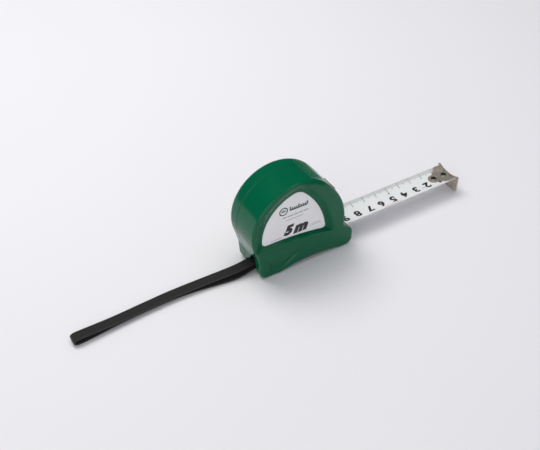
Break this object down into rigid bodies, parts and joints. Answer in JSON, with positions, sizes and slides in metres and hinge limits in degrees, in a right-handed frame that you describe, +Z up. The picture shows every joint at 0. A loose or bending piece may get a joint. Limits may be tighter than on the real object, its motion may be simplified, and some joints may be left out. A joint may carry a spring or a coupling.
{
  "type": "pocket tape measure",
  "caption": "Pocket tape measure: two-shell plastic case, hollow steel blade with end hook drawn out of the mouth, thumb lock and wrist strap.",
  "frame": {"origin": "on the ground, midway between the back of the case and the outer face of the end hook, in the blade's middle plane", "axes": "+X along the drawn blade towards the hook, +Z up, -Y towards the labelled front face"},
  "size_m": [0.2869, 0.031, 0.0668],
  "materials": {
    "case_green": "glossy moulded ABS, dark green",
    "label_white": "satin white label film",
    "blade_enamel": "white enamelled spring steel with black scale",
    "coil_enamel": "wound enamelled blade",
    "hook_nickel": "bright nickel plate",
    "rivet_nickel": "bright nickel plate",
    "screw_steel": "zinc plated steel",
    "pin_steel": "ground steel",
    "spring_steel": "blued spring steel",
    "reel_plastic": "black moulded nylon",
    "liner_film": "thin low-friction film",
    "lock_black": "black satin ABS",
    "brake_nylon": "natural nylon",
    "pad_rubber": "black rubber",
    "strap_webbing": "black woven nylon webbing"
  },
  "bodies": {
    "case": {"front_case": "case_green", "back_case": "case_green", "front_label": "label_white", "back_label": "label_white", "centre_post": "pin_steel", "post_screw": "screw_steel", "case_screws": "screw_steel", "front_liner": "liner_film", "back_liner": "liner_film", "brake_pin": "pin_steel", "detent_leaf": "spring_steel", "mouth_guide": "brake_nylon", "mouth_bumper": "pad_rubber", "strap_pin": "pin_steel", "wrist_strap": "strap_webbing"},
    "blade_strip": {"blade": "blade_enamel", "hook_rivets": "rivet_nickel"},
    "hook": {"end_hook": "hook_nickel"},
    "reel_set": {"reel": "reel_plastic", "reel_cover": "reel_plastic", "tape_coil": "coil_enamel", "power_spring": "spring_steel"},
    "lock": {"lock_button": "lock_black"},
    "brake": {"brake_arm": "brake_nylon", "brake_pad": "pad_rubber"}
  },
  "joints": [
    {"name": "blade_slide", "type": "slide", "parent": "case", "child": "blade_strip", "axis": [1, 0, 0], "range_m": [-0.018, 0.028]},
    {"name": "hook_play", "type": "slide", "parent": "blade_strip", "child": "hook", "axis": [1, 0, 0], "range_m": [-0.0005, 0.0005]},
    {"name": "reel_spin", "type": "hinge", "parent": "case", "child": "reel_set", "pos_m": [-0.0535, 0, 0.0348], "axis": [0, -1, 0], "range_deg": [-48, 74]},
    {"name": "lock_slide", "type": "slide", "parent": "case", "child": "lock", "axis": [-0.3918, 0, 0.92], "range_m": [0, 0.007]},
    {"name": "brake_tilt", "type": "hinge", "parent": "case", "child": "brake", "pos_m": [-0.0279, 0, 0.019], "axis": [0, -1, 0], "range_deg": [0, 6.1]}
  ],
  "couplings": [
    {"joint": "reel_spin", "follows": "blade_slide", "rad_per_m": 45.662},
    {"joint": "brake_tilt", "follows": "lock_slide", "rad_per_m": 14.96}
  ]
}
